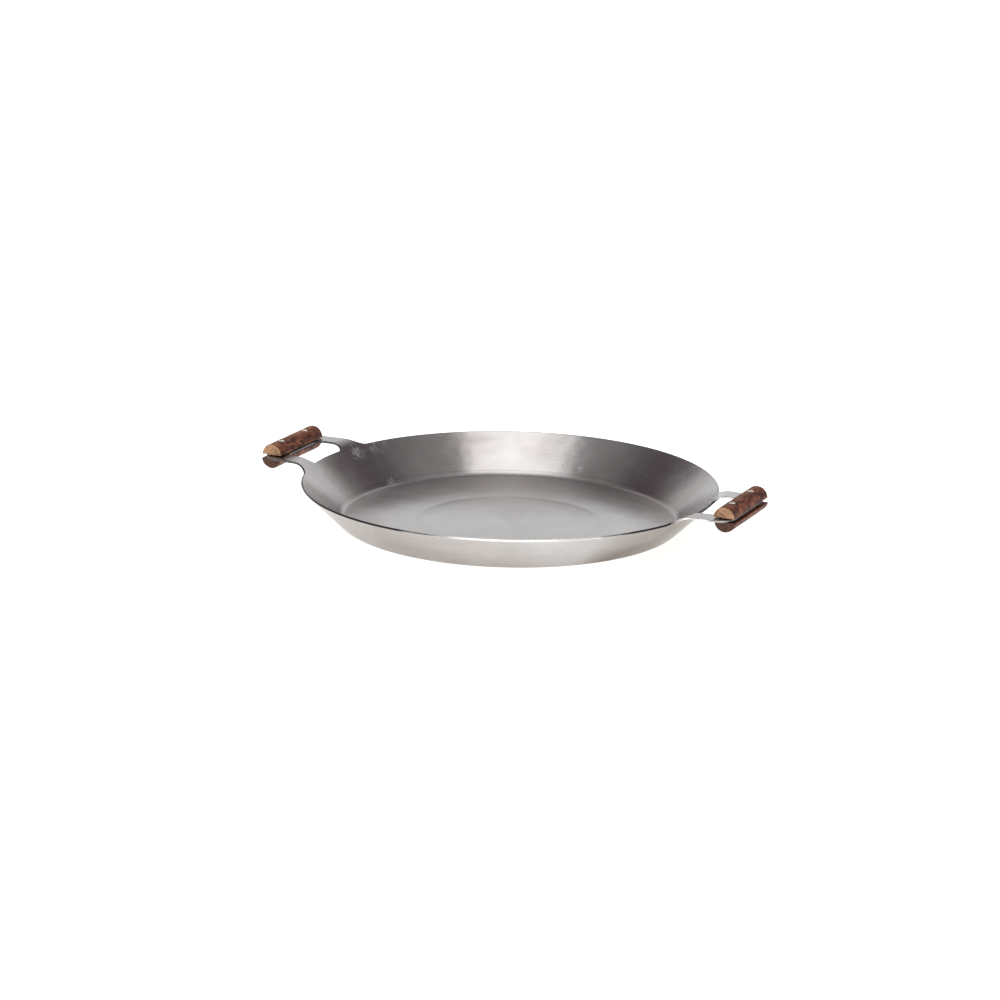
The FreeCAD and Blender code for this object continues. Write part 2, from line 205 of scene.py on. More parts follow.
def quarter_outline():
    """Outer outline from the end of the right ear to the rear of the rim, counter-clockwise."""
    normal = np.array([math.sin(EAR_TAPER), math.cos(EAR_TAPER)])
    along = np.array([math.cos(EAR_TAPER), -math.sin(EAR_TAPER)])
    offset = normal @ np.array([EAR_END, EAR_HALF_WIDTH])
    corner_x = EAR_END - EAR_END_CORNER
    corner_y = (offset - EAR_END_CORNER - corner_x * normal[0]) / normal[1]
    end_arc = arc_points((corner_x, corner_y), EAR_END_CORNER, 0, math.pi / 2 - EAR_TAPER,
                         EAR_CORNER_STEPS)
    reach = RIM + EAR_ROOT_CORNER
    away = offset + EAR_ROOT_CORNER
    root = away * normal + math.sqrt(reach ** 2 - away ** 2) * along
    first = -math.pi / 2 - EAR_TAPER
    last = math.atan2(-root[1], -root[0])
    root_arc = arc_points(root, EAR_ROOT_CORNER, first, last, EAR_CORNER_STEPS)
    rim_start = math.atan2(root[1], root[0])
    rim_steps = round(math.degrees(math.pi / 2 - rim_start) * RIM_STEPS_PER_DEGREE)
    rim_arc = arc_points((0, 0), RIM, rim_start, math.pi / 2, rim_steps)
    start = np.array([[EAR_END, 0.0]])
    return np.vstack((start, end_arc, root_arc, rim_arc[1:]))


def opening_half():
    """The rear half of the right opening's outline, from the rim's middle to the far end's."""
    reach = RIM + OPENING_ROOT_CORNER
    root_y = OPENING_HALF_WIDTH - OPENING_ROOT_CORNER
    root = np.array([math.sqrt(reach ** 2 - root_y ** 2), root_y])
    angle = math.atan2(root[1], root[0])
    rim_arc = arc_points((0, 0), RIM, 0, angle, OPENING_STEPS)
    root_arc = arc_points(root, OPENING_ROOT_CORNER, angle + math.pi, math.pi / 2, OPENING_STEPS)
    far = (OPENING_END - OPENING_END_CORNER, OPENING_HALF_WIDTH - OPENING_END_CORNER)
    far_arc = arc_points(far, OPENING_END_CORNER, math.pi / 2, 0, OPENING_END_STEPS)
    end = np.array([[OPENING_END, 0.0]])
    return np.vstack((rim_arc[:-1], root_arc, far_arc, end))


def outer_loop():
    quarter = quarter_outline()
    rear = np.vstack((quarter[:-1], quarter[::-1] * np.array([-1, 1])))
    front = rear[1:-1][::-1] * np.array([1, -1])
    return spread(np.vstack((rear, front)), OUTLINE_STEP)


def opening_loop(side):
    half = opening_half()
    loop = np.vstack((half, half[1:-1][::-1] * np.array([1, -1])))
    return spread(loop * np.array([side, 1]), OPENING_STEP)


def hole_loop(x, y):
    return arc_points((x, y), SCREW_HOLE, 0, 2 * math.pi, HOLE_SIDES)[:-1]


def area_of(loop):
    x, y = loop[:, 0], loop[:, 1]
    return (x @ np.roll(y, -1) - y @ np.roll(x, -1)) / 2


def outward(loop, hole):
    """Unit plan normals at a loop's points, pointing away from the steel."""
    ahead = np.roll(loop, -1, axis=0) - np.roll(loop, 1, axis=0)
    ahead /= np.linalg.norm(ahead, axis=1)[:, None]
    normal = np.column_stack((ahead[:, 1], -ahead[:, 0]))
    if area_of(loop) < 0:
        normal = -normal
    return -normal if hole else normal


def inside(points, loops):
    """Whether each point is within an odd number of the loops."""
    result = np.zeros(len(points), bool)
    px, py = points[:, 0:1], points[:, 1:2]
    for loop in loops:
        x0, y0 = loop[:, 0][None], loop[:, 1][None]
        x1, y1 = np.roll(x0, -1, axis=1), np.roll(y0, -1, axis=1)
        spans = (y0 > py) != (y1 > py)
        rise = np.where(y1 == y0, 1e-12, y1 - y0)
        crossing = x0 + (py - y0) / rise * (x1 - x0)
        result ^= (spans & (px < crossing)).sum(axis=1) % 2 == 1
    return result


# ---------------------------------------------------------------- the pan mesh

SPOKES = 360
FIRST_RING = 4.0 * MM
GRID_END = 284.0 * MM
# Where each stretch of the regular rings ends, and how far apart the rings are in it.
GRID_STRETCHES = (
    (DISC - 14 * MM, 6 * MM),
    (DISC + 14 * MM, 1.75 * MM),
    (226 * MM, 5 * MM),
    (246 * MM, 1.0 * MM),
    (GRID_END, 4 * MM),
)
# Rings of free points outside the regular rings, in millimetres: first, end and step.
FREE_RINGS = (
    (287, 288, 1),
    (290, 312, 2.2),
    (313, 364, 4.5),
)
# Free points stay this far from every edge loop, and are tried this many at a time.
EDGE_CLEARANCE = 1.6 * MM
BLOCK = 500
# Points closer together than this are taken as one.
WELD = 1e-7
EDGE_STEPS = 4
# Number of the sheet's second material, which its edges wear.
LIP_SLOT = 1


def grid_radii():
    """Ring radii of the regular part: close together round the bends."""
    radii = [FIRST_RING]
    for end, step in GRID_STRETCHES:
        start = radii[-1]
        count = max(1, round((end - start) / step))
        radii += list(np.linspace(start, end, count + 1)[1:])
    return radii


def ring_of(radius, steps, offset=0.0):
    """Plan points of a circle round the pan's middle."""
    turn = (np.arange(steps) + offset) * 2 * math.pi / steps
    return np.column_stack((np.cos(turn), np.sin(turn))) * radius


def rings_of_quads(radii, steps):
    """Plan points and faces of a round sheet: a fan of triangles, then rings of quads round it."""
    points = np.vstack([np.zeros((1, 2))] + [ring_of(radius, steps) for radius in radii])
    faces = [(0, 1 + k, 1 + (k + 1) % steps) for k in range(steps)]
    for number in range(len(radii) - 1):
        a, b = 1 + number * steps, 1 + (number + 1) * steps
        for k in range(steps):
            n = (k + 1) % steps
            faces.append((a + k, b + k, b + n, a + n))
    return points, faces


def free_points(loops):
    """Points to fill the space between the loops, none of them close to a loop."""
    candidates = []
    for stretch in FREE_RINGS:
        for radius in np.arange(*stretch) * MM:
            candidates.append(ring_of(radius, SPOKES * 2 if radius > RIM else SPOKES, 0.5))
    candidates = np.vstack(candidates)
    candidates = candidates[inside(candidates, loops)]
    border = np.vstack(loops)
    keep = []
    for start in range(0, len(candidates), BLOCK):
        block = candidates[start:start + BLOCK]
        gap = np.linalg.norm(block[:, None] - border[None], axis=2).min(axis=1)
        keep.append(block[gap > EDGE_CLEARANCE])
    return np.vstack(keep)


def fill_between(loops):
    """Triangles between the loops: their points, their corners, and where each loop point went."""
    coords, edges = [], []
    for loop in loops:
        first = len(coords)
        coords += [Vector(p) for p in loop]
        edges += [(first + k, first + (k + 1) % len(loop)) for k in range(len(loop))]
    coords += [Vector(p) for p in free_points(loops)]
    verts, _, triangles, origins, _, _ = delaunay_2d_cdt(coords, edges, [], 0, WELD)
    verts = np.array([tuple(v) for v in verts])
    triangles = np.array(triangles)
    triangles = triangles[inside(verts[triangles].mean(axis=1), loops)]
    place = {}
    for index, source in enumerate(origins):
        for number in source:
            place[number] = index
    return verts, triangles, place


def pan_plan():
    """Plan points and triangles or quads of the whole sheet, with its edge loops.

    Returns points, faces and a list of (point numbers of the inset loop, outline, normals).
    """
    points, faces = rings_of_quads(grid_radii(), SPOKES)
    last_ring = len(points) - SPOKES
    outlines = [(outer_loop(), False)]
    outlines += [(opening_loop(side), True) for side in SIDES.values()]
    outlines += [(hole_loop(x, y), True) for x, y in screw_axes()]
    insets, normals = [], []
    for loop, hole in outlines:
        normal = outward(loop, hole)
        normals.append(normal)
        insets.append(loop - normal * EDGE_ROUND)

    verts, triangles, place = fill_between(insets + [points[last_ring:]])
    number_of = np.full(len(verts), -1)
    ring_start = sum(len(loop) for loop in insets)
    for k in range(SPOKES):
        number_of[place[ring_start + k]] = last_ring + k
    fresh = np.where(number_of < 0)[0]
    number_of[fresh] = len(points) + np.arange(len(fresh))
    points = np.vstack((points, verts[fresh]))
    for triangle in triangles:
        a, b, c = number_of[triangle]
        pa, pb, pc = points[a], points[b], points[c]
        turning = (pb[0] - pa[0]) * (pc[1] - pa[1]) - (pb[1] - pa[1]) * (pc[0] - pa[0])
        faces.append((a, b, c) if turning > 0 else (a, c, b))

    rims = []
    first = 0
    for (loop, _), normal in zip(outlines, normals):
        numbers = [number_of[place[first + k]] for k in range(len(loop))]
        rims.append((numbers, loop, normal))
        first += len(loop)
    return points, faces, rims


def edge_sides(places, normals, outline_out):
    """Unit vectors that lie in the sheet and point away from the steel at its edge."""
    along = np.roll(places, -1, axis=0) - np.roll(places, 1, axis=0)
    out = np.column_stack((outline_out, np.zeros(len(outline_out))))
    side = np.cross(along, normals)
    side /= np.linalg.norm(side, axis=1)[:, None]
    return side * np.sign((side * out).sum(axis=1))[:, None]


def rounded_edge(loop, outline_out):
    """Rows of points and normals round the sheet's edge, from its inner face to its outer one."""
    place, square = surface(loop)
    side = edge_sides(place, square, outline_out)
    turns = [level / EDGE_STEPS * math.pi / 2 for level in range(1, EDGE_STEPS + 1)]
    levels = [(turn, 1) for turn in turns] + [(turn, -1) for turn in reversed(turns)]
    rows = []
    for turn, face_sign in levels:
        inset = EDGE_ROUND * (1 - math.sin(turn))
        drop = EDGE_ROUND * (1 - math.cos(turn))
        depth = drop if face_sign > 0 else SHEET - drop
        normal = square * (face_sign * math.cos(turn)) + side * math.sin(turn)
        rows.append((place - side * inset - square * depth, normal))
    return rows


def make_pan():
    """The sheet: its inner face, the same face one thickness below, and a rounded edge between."""
    plan, plan_faces, rims = pan_plan()
    count = len(plan)
    top, normal = surface(plan)
    verts = [top, top - normal * SHEET]
    normals = [normal, -normal]
    faces = list(plan_faces)
    faces += [tuple(count + v for v in reversed(face)) for face in plan_faces]
    total = 2 * count
    for number, (numbers, loop, outline_out) in enumerate(rims):
        rows = [np.array(numbers)]
        for row, row_normals in rounded_edge(loop, outline_out):
            verts.append(row)
            normals.append(row_normals)
            rows.append(total + np.arange(len(loop)))
            total += len(loop)
        rows.append(np.array(numbers) + count)
        flip = (area_of(loop) < 0) != (number > 0)
        for upper, lower in zip(rows, rows[1:]):
            for k in range(len(loop)):
                n = (k + 1) % len(loop)
                quad = (upper[k], lower[k], lower[n], upper[n])
                faces.append(tuple(reversed(quad)) if flip else quad)
    pan = new_object("pan", np.vstack(verts), faces, np.vstack(normals))
    for polygon in pan.data.polygons[2 * len(plan_faces):]:
        polygon.material_index = LIP_SLOT
    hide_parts("pan_body")
    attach(pan, "root")
    return pan


pan = make_pan()


# ------------------------------------------------------------------ the grips

GRIP_RADIUS = 15.3 * MM
END_ROUND = 1.2 * MM
CHORD_ROUND = 0.5 * MM
ARC_STEPS = 56
CHORD_POINTS = 15
END_STEPS = 4
STATIONS = 90
END_SHRINKS = (0.75, 0.4)
# The point half-way round the small round: shares of the half chord and of the round's size.
CHORD_ROUND_POINT = (0.995, 0.35)
# Height of the point that the ends shrink to, as a share of a half's depth.
MIDDLE_HEIGHT = 0.45
# Points of the section lower than this lie on its flat side.
FLAT_SIDE = 0.01 * MM
# The most that the wood is worked down by hand, and the height over which this sets in.
HAND_WORK = 0.55 * MM
HAND_WORK_RISE = 3 * MM
# Noise cells per metre across, along and up a grip, and the step from one half's noise to the next.
HAND_SCALE = (70, 30, 70)
SEED_STEP = 7.3
DRILL_SIDES = 48
DRILL_BELOW = 2 * MM
DRILL_HEIGHT = 30 * MM
SHARP_EDGE = math.radians(32)
# Height of a counterbore's seat above the flat side, and the counterbore's radius.
UPPER_SEAT, UPPER_BORE = 11.3 * MM, 6.0 * MM
LOWER_SEAT, LOWER_BORE = 5.3 * MM, 6.5 * MM


def rounded_section(radius, depth, corner):
    """A circle's segment with its chord on the ground and small rounds at the chord's ends."""
    centre_z = depth - radius
    half = math.sqrt(radius ** 2 - centre_z ** 2)
    start = math.atan2(-centre_z, half)
    inset = corner / radius
    arc = arc_points((0, centre_z), radius, start + inset, math.pi - start - inset, ARC_STEPS)
    flat_end = np.array([half - corner, 0.0])
    flat = np.linspace(-flat_end, flat_end, CHORD_POINTS)
    mid_x, mid_z = half * CHORD_ROUND_POINT[0], corner * CHORD_ROUND_POINT[1]
    return np.vstack((arc, [(-mid_x, mid_z)], flat, [(mid_x, mid_z)]))


def grip_stations(half_length):
    """Places along a grip, each with how far its section is drawn in at the rounded ends."""
    ends = []
    for step in range(END_STEPS + 1):
        turn = step / END_STEPS * math.pi / 2
        ends.append((END_ROUND * (1 - math.cos(turn)) - half_length, END_ROUND * (1 - math.sin(turn))))
    straight = half_length - END_ROUND
    body = [(y, 0.0) for y in np.linspace(-straight, straight, STATIONS)[1:-1]]
    return ends + body + [(-y, inset) for y, inset in reversed(ends)]


def band(first, second, count, flip=False):
    """Quads between two rings of points, given by their first point numbers."""
    quads = []
    for k in range(count):
        n = (k + 1) % count
        quad = (first + k, first + n, second + n, second + k)
        quads.append(tuple(reversed(quad)) if flip else quad)
    return quads


def close_end(verts, faces, outer, count, middle, y, flip):
    """A flat end: two smaller rings inside the outer one, and triangles to the middle."""
    centre = len(verts)
    mid_x, mid_z = middle
    verts.append((mid_x, y, mid_z))
    rings = [outer]
    for shrink in END_SHRINKS:
        rings.append(len(verts))
        for k in range(count):
            x, _, z = verts[outer + k]
            verts.append((mid_x + (x - mid_x) * shrink, y, mid_z + (z - mid_z) * shrink))
    for ring_a, ring_b in zip(rings, rings[1:]):
        faces += band(ring_a, ring_b, count, flip)
    for k in range(count):
        corners = (rings[-1] + k, rings[-1] + (k + 1) % count, centre)
        faces.append(tuple(reversed(corners)) if flip else corners)


def grip_mesh(name, depth, seed):
    """One grip half in its own frame: flat side on z = 0, length along Y, a little uneven."""
    low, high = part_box(name)
    section = rounded_section(GRIP_RADIUS, depth, CHORD_ROUND)
    count = len(section)
    middle = np.array([0.0, depth * MIDDLE_HEIGHT])
    stations = grip_stations((high.y - low.y) / 2)
    verts, faces = [], []
    reach = np.abs(section - middle).max()
    for y, inset in stations:
        ring = middle + (section - middle) * (1 - inset / reach)
        ring[:, 1] = np.where(section[:, 1] < FLAT_SIDE, 0, ring[:, 1])
        for x, z in ring:
            spot = Vector((x * HAND_SCALE[0], y * HAND_SCALE[1], z * HAND_SCALE[2] + seed))
            uneven = abs(HAND_WORK * noise.noise(spot)) * min(1, z / HAND_WORK_RISE)
            verts.append((x - uneven * np.sign(x), y, z - uneven))
    last = (len(stations) - 1) * count
    for first in range(0, last, count):
        faces += band(first, first + count, count)
    close_end(verts, faces, 0, count, middle, stations[0][0], True)
    close_end(verts, faces, last, count, middle, stations[-1][0], False)
    return verts, faces


def cutter(bore, seat, shift, spacing):
    """A stepped drill for both screw holes: narrow up to the seat, wide above it."""
    verts, faces = [], []
    levels = ((-DRILL_BELOW, SCREW_HOLE), (seat, SCREW_HOLE), (seat, bore), (DRILL_HEIGHT, bore))
    for end in ENDS.values():
        first = len(verts)
        for z, radius in levels:
            for k in range(DRILL_SIDES):
                a = 2 * math.pi * k / DRILL_SIDES
                verts.append((shift + radius * math.cos(a), end * spacing + radius * math.sin(a), z))
        top = first + (len(levels) - 1) * DRILL_SIDES
        for ring in range(first, top, DRILL_SIDES):
            faces += band(ring, ring + DRILL_SIDES, DRILL_SIDES)
        faces.append(tuple(reversed(range(first, first + DRILL_SIDES))))
        faces.append(tuple(range(top, top + DRILL_SIDES)))
    return verts, faces


def make_grip(side_name, level, seed):
    """A grip half with its stepped screw holes, in its place against the ear."""
    node = f"{side_name}_{level}_grip"
    low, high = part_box(node)
    upper = level == "upper"
    piece = new_object(f"{node}_wood", *grip_mesh(node, high.z - low.z, seed))
    centre_x = (low.x + high.x) / 2
    reach, spacing = screw_place(side_name)
    seat, bore = (UPPER_SEAT, UPPER_BORE) if upper else (LOWER_SEAT, LOWER_BORE)
    drill = new_object("drill", *cutter(bore, seat, SIDES[side_name] * reach - centre_x, spacing))
    cut = piece.modifiers.new("holes", "BOOLEAN")
    cut.object = drill
    cut.solver = "EXACT"
    apply_modifiers(piece)
    bpy.data.objects.remove(drill)
    flip = Matrix.Identity(4) if upper else Matrix.Diagonal((1, 1, -1, 1))
    base = low.z if upper else high.z
    piece.data.transform(Matrix.Translation((centre_x, 0, base)) @ flip)
    if not upper:
        piece.data.flip_normals()
    finish_edges(piece.data)
    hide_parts(node)
    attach(piece, "root")
    return piece


def apply_modifiers(piece):
    """Replace a piece's mesh with what its modifiers make of it."""
    graph = bpy.context.evaluated_depsgraph_get()
    fresh = bpy.data.meshes.new_from_object(piece.evaluated_get(graph))
    piece.modifiers.clear()
    piece.data = fresh


def finish_edges(mesh):
    """Smooth shading everywhere but over sharp edges."""
    work = bmesh.new()
    work.from_mesh(mesh)
    for face in work.faces:
        face.smooth = True
    for edge in work.edges:
        edge.smooth = not (edge.is_manifold and edge.calc_face_angle(0) > SHARP_EDGE)
    work.to_mesh(mesh)
    work.free()


grips = {}
for side_name in SIDES:
    for level in ("upper", "lower"):
        grips[side_name, level] = make_grip(side_name, level, SEED_STEP * len(grips))


# -------------------------------------------------------------- node helpers

class Nodes:
    """Short-hand for building the node tree of a material or a world."""

    def __init__(self, owner, output="OutputMaterial"):
        owner.use_nodes = True
        self.owner = owner
        self.tree = owner.node_tree
        self.tree.nodes.clear()
        self.output = self.add(output)

    def finish(self, shader):
        """Connect the shader to the output, and return the material or the world."""
        self.tree.links.new(shader.outputs[0], self.output.inputs[0])
        return self.owner

    def add(self, kind, **settings):
        node = self.tree.nodes.new("ShaderNode" + kind)
        for key, value in settings.items():
            setattr(node, key, value)
        return node

    def put(self, socket, value):
        if isinstance(value, bpy.types.NodeSocket):
            self.tree.links.new(value, socket)
        else:
            socket.default_value = value

    def math(self, operation, first, second=0.0, clamp=False):
        node = self.add("Math", operation=operation, use_clamp=clamp)
        self.put(node.inputs[0], first)
        self.put(node.inputs[1], second)
        return node.outputs[0]

    def times(self, first, second):
        return self.math("MULTIPLY", first, second)

    def plus(self, first, second):
        return self.math("ADD", first, second)

    def vector(self, operation, first, second=(0, 0, 0)):
        node = self.add("VectorMath", operation=operation)
        self.put(node.inputs[0], first)
        self.put(node.inputs[1], second)
        return node.outputs["Value" if operation in ("LENGTH", "DOT_PRODUCT") else "Vector"]

    def dot(self, first, second):
        return self.vector("DOT_PRODUCT", first, second)

    def stretch(self, place, scales):
        return self.vector("MULTIPLY", place, scales)

    def combine(self, **parts):
        """A vector from its X, Y and Z; a part that isn't given is 0."""
        node = self.add("CombineXYZ")
        for axis, value in parts.items():
            self.put(node.inputs[axis], value)
        return node.outputs[0]

    def grey(self, value):
        """A grey colour, or a vector of equal parts, from a number."""
        return self.combine(X=value, Y=value, Z=value)

    def noise(self, where, scale, detail=2.0, roughness=0.5, distortion=0.0):
        node = self.add("TexNoise")
        self.put(node.inputs["Vector"], where)
        node.inputs["Scale"].default_value = scale
        node.inputs["Detail"].default_value = detail
        node.inputs["Roughness"].default_value = roughness
        node.inputs["Distortion"].default_value = distortion
        return node.outputs["Fac"]

    def ramp(self, value, *stops):
        """A colour ramp through (position, colour) stops; a plain number stands for a grey."""
        node = self.add("ValToRGB")
        self.put(node.inputs[0], value)
        elements = node.color_ramp.elements
        while len(elements) < len(stops):
            elements.new(0.5)
        for element, (position, colour) in zip(elements, stops):
            element.position = position
            if isinstance(colour, (int, float)):
                colour = (colour,) * 3
            element.color = (*colour, 1)
        return node.outputs[0]

    def mix(self, factor, first, second, blend="MIX"):
        node = self.add("Mix", data_type="RGBA", blend_type=blend)
        self.put(node.inputs[0], factor)
        for socket, value in ((node.inputs[6], first), (node.inputs[7], second)):
            if isinstance(value, tuple) and len(value) == 3:
                value = (*value, 1)
            self.put(socket, value)
        return node.outputs[2]

    def remap(self, value, low, high, to_low=0.0, to_high=1.0):
        node = self.add("MapRange", clamp=True)
        for socket, number in zip(node.inputs, (value, low, high, to_low, to_high)):
            self.put(socket, number)
        return node.outputs[0]

    def bump(self, height, strength, distance, normal=None):
        node = self.add("Bump")
        self.put(node.inputs["Height"], height)
        node.inputs["Strength"].default_value = strength
        node.inputs["Distance"].default_value = distance
        if normal is not None:
            self.put(node.inputs["Normal"], normal)
        return node.outputs[0]


# ------------------------------------------------------------------ materials

# Distances from the pan's axis are taken as no less than this where they divide something.
LEAST_RADIUS = 100 * MM
PLAN = (1, 1, 0)
RIGHT = (1, 0, 0)
FRONT = (0, -1, 0)
REAR = (0, 1, 0)
UP = (0, 0, 1)
DOWN = (0, 0, -1)
# The way from the pan's middle to the part of the rim where a highlight is painted on the lip.
HIGHLIGHT_WAY = (math.sin(math.radians(27)), -math.cos(math.radians(27)), 0.0)

# Radii of the faint ring in the floor, of the crease at the wall's foot, and of its dark line.
DISC_LINE = 126.5 * MM
CREASE = 238.6 * MM
BEND_LINE = 241.2 * MM

# Distance from the pan's middle, heading from +X in degrees, and reach of each scratched patch.
SCRATCHED_SPOTS = (
    (282 * MM, 166, 20 * MM),
    (289 * MM, 158, 26 * MM),
    (238 * MM, 160, 12 * MM),
    (249 * MM, 95, 9 * MM),
    (250 * MM, 90, 7 * MM),
)
# Two sets of scratches that cross, each with its directions across and along a scratch.
SCRATCH_WAYS = (
    ((0.3, 0.9, 0.5), (0.6, -0.5, 0.8)),
    ((0.6, -0.5, 0.8), (0.3, 0.9, 0.5)),
)
# Noise cells per metre across and along a scratch.
SCRATCH_FINENESS = (1000.0, 170.0)

STEEL_DULL = (0.515, 0.505, 0.500)
STEEL_PALE = (0.600, 0.593, 0.588)
STEEL_BROWN = (0.44, 0.400, 0.390)
STEEL_BARE = (0.95, 0.94, 0.93)
STEEL_LINE = (0.20, 0.18, 0.18)
STEEL_OUTSIDE = (0.55, 0.535, 0.515)
# Colour of the painted shade on the outer wall.
STEEL_PAINTED_SHADE = (0.19, 0.155, 0.130)
LIP_DARK = (0.06, 0.055, 0.055)
LIP_LIGHT = (0.125, 0.12, 0.12)
# Colour of the highlight painted on the lip.
LIP_PAINTED_HIGHLIGHT = (0.90, 0.89, 0.88)
FASTENER_DULL = (0.90, 0.89, 0.88)
FASTENER_BRIGHT = (0.99, 0.98, 0.97)

# The middle of the tree that a right-hand grip was cut from (mirrored on the left), and its
# rings to a metre.
TREE_HEART = (0.335, 0.0, 0.045)
TREE_RINGS = 240.0
WOOD_STAIN = (
    (0.34, (0.026, 0.009, 0.007)),
    (0.45, (0.084, 0.028, 0.017)),
    (0.53, (0.155, 0.050, 0.027)),
    (0.63, (0.270, 0.095, 0.045)),
    (0.74, (0.400, 0.180, 0.090)),
)
WOOD_RING = (0.040, 0.015, 0.010)
WOOD_FIBRE = (0.030, 0.013, 0.009)
WOOD_CREST = (0.34, 0.17, 0.10)
WOOD_ROUND = (0.120, 0.078, 0.040)
WOOD_SHADES = {"left": (1.32, 1.30, 1.28), "right": (0.96, 0.84, 0.80)}
# Light and dark colours of the cut ends; those of the lower halves are darkened as painted shade below
# the plate.
WOOD_ENDS_LOWER_PAINTED_SHADE = {
    "upper": ((0.545, 0.325, 0.190), (0.16, 0.075, 0.036)),
    # Painted shade: the lower ends are darker than the upper ones.
    "lower": ((0.130, 0.070, 0.050), (0.035, 0.018, 0.012)),
}


def plan_radius(nodes, place):
    return nodes.vector("LENGTH", nodes.stretch(place, PLAN))


def towards(nodes, place, radius, way):
    """1 where a place lies in a direction from the pan's axis, and 0 square to it."""
    return nodes.math("DIVIDE", nodes.dot(place, way), nodes.math("MAXIMUM", radius, LEAST_RADIUS))


def polar(nodes, place, radius, along, across):
    """Coordinates that change slowly round the pan and quickly outwards, without a seam."""
    reach = nodes.grey(nodes.math("MAXIMUM", radius, LEAST_RADIUS))
    heading = nodes.vector("DIVIDE", nodes.stretch(place, PLAN), reach)
    turned = nodes.stretch(heading, (along, along, 0))
    return nodes.vector("ADD", turned, nodes.combine(Z=nodes.times(radius, across)))


def ring(nodes, radius, middle, reach):
    """1 on a circle round the pan's axis, falling to 0 a short way to either side."""
    away = nodes.math("ABSOLUTE", nodes.math("SUBTRACT", radius, middle))
    return nodes.remap(away, reach, 0.0)


def scratched(nodes, place):
    """Patches of short crossing scratches, 1 on a scratch and 0 elsewhere."""
    mask = 0.0
    for radius, heading, reach in SCRATCHED_SPOTS:
        turn = math.radians(heading)
        spot, _ = surface(radius * np.array([[math.cos(turn), math.sin(turn)]]))
        gap = nodes.vector("LENGTH", nodes.vector("SUBTRACT", place, tuple(spot[0])))
        mask = nodes.math("MAXIMUM", mask, nodes.remap(gap, reach, reach * 0.35))
    lines = 0.0
    for across, along in SCRATCH_WAYS:
        cell = nodes.combine(
            X=nodes.times(nodes.dot(place, across), SCRATCH_FINENESS[0]),
            Y=nodes.times(nodes.dot(place, along), SCRATCH_FINENESS[1]),
        )
        marks = nodes.noise(cell, 1.0, detail=1)
        lines = nodes.math("MAXIMUM", lines, nodes.remap(marks, 0.545, 0.62))
    patchy = nodes.noise(place, 160.0, detail=2)
    lines = nodes.times(lines, nodes.remap(patchy, 0.36, 0.50, 0.1, 1.0))
    return nodes.times(mask, lines)


def brown_tint(nodes, patches, radius):
    """How brown the steel is: in patches, from the outer floor up to a little short of the rim."""
    brown = nodes.remap(patches, 0.40, 0.64, 0.1, 0.75)
    brown = nodes.times(brown, nodes.remap(radius, 150 * MM, 225 * MM))
    return nodes.times(brown, nodes.remap(radius, 300 * MM, 280 * MM))


def outer_wall_painted_shade(nodes, place, radius, patches):
    """How much painted shade darkens the outer wall: most near the right ear and low down, where it
    stands in for shade and the reflected shadow under the pan, and least towards the front of the rim.
    """
    low = nodes.remap(radius, 268 * MM, 234 * MM)
    right = towards(nodes, place, radius, RIGHT)
    beside = nodes.remap(right, 0.74, 0.99, 0.0, 0.95)
    limb = nodes.remap(right, 0.93, 1.0, 0.0, 0.5)
    # Painted shade: the outer wall is darkened low down and beside the right ear.
    painted_shade = nodes.times(nodes.plus(nodes.times(beside, 1.3), 0.25), nodes.plus(low, 0.22))
    painted_shade = nodes.plus(painted_shade, nodes.plus(nodes.times(beside, 0.2), limb))
    # The painted shade is lightest towards the front of the rim.
    toward_highlight = towards(nodes, place, radius, HIGHLIGHT_WAY)
    painted_shade = nodes.plus(painted_shade, nodes.remap(toward_highlight, 0.985, 0.76, 0.04, 0.34))
    return nodes.math("ADD", painted_shade, nodes.remap(patches, 0.4, 0.7, -0.06, 0.12), clamp=True)


def steel_colour(nodes, place, radius, fine):
    """Grey steel with faint lines round the pan, brown patches, and an outside darkened by painted
    shade.
    """
    cloud = nodes.noise(place, 9.0, detail=3)
    tint = nodes.ramp(cloud, (0.3, STEEL_DULL), (0.7, STEEL_PALE))
    grain = nodes.grey(nodes.remap(fine, 0.3, 0.7, 0.965, 1.03))
    colour = nodes.mix(1.0, tint, grain, "MULTIPLY")
    moved = nodes.vector("ADD", place, (0.37, 0.11, 0.0))
    patches = nodes.noise(moved, 7.0, detail=3, distortion=0.4)
    colour = nodes.mix(brown_tint(nodes, patches, radius), colour, STEEL_BROWN)
    disc = nodes.times(ring(nodes, radius, DISC_LINE, 9 * MM), 0.35)
    lines = nodes.math("MAXIMUM", disc, ring(nodes, radius, BEND_LINE, 1.2 * MM))
    colour = nodes.mix(nodes.times(lines, 0.25), colour, STEEL_LINE)
    normal = nodes.add("NewGeometry").outputs["Normal"]
    outside = nodes.remap(nodes.dot(normal, DOWN), 0.3, 0.6)
    outside = nodes.times(outside, nodes.remap(radius, 222 * MM, 237 * MM))
    colour = nodes.mix(nodes.times(outside, 0.25), colour, STEEL_OUTSIDE)
    # Painted shade on the outer wall, over the steel's colour.
    painted_shade = outer_wall_painted_shade(nodes, place, radius, patches)
    return nodes.mix(nodes.times(painted_shade, outside), colour, STEEL_PAINTED_SHADE)


def steel_roughness(nodes, radius, fine, broad, marks):
    """Smoothest on the floor, rougher from the foot of the wall on, and roughest on scratches."""
    rough = nodes.remap(broad, 0.3, 0.7, 0.155, 0.190)
    rough = nodes.plus(rough, nodes.remap(radius, 170 * MM, 236 * MM, 0.0, 0.09))
    rough = nodes.plus(rough, nodes.remap(fine, 0.3, 0.7, -0.012, 0.012))
    return nodes.plus(rough, nodes.times(marks, 0.3))


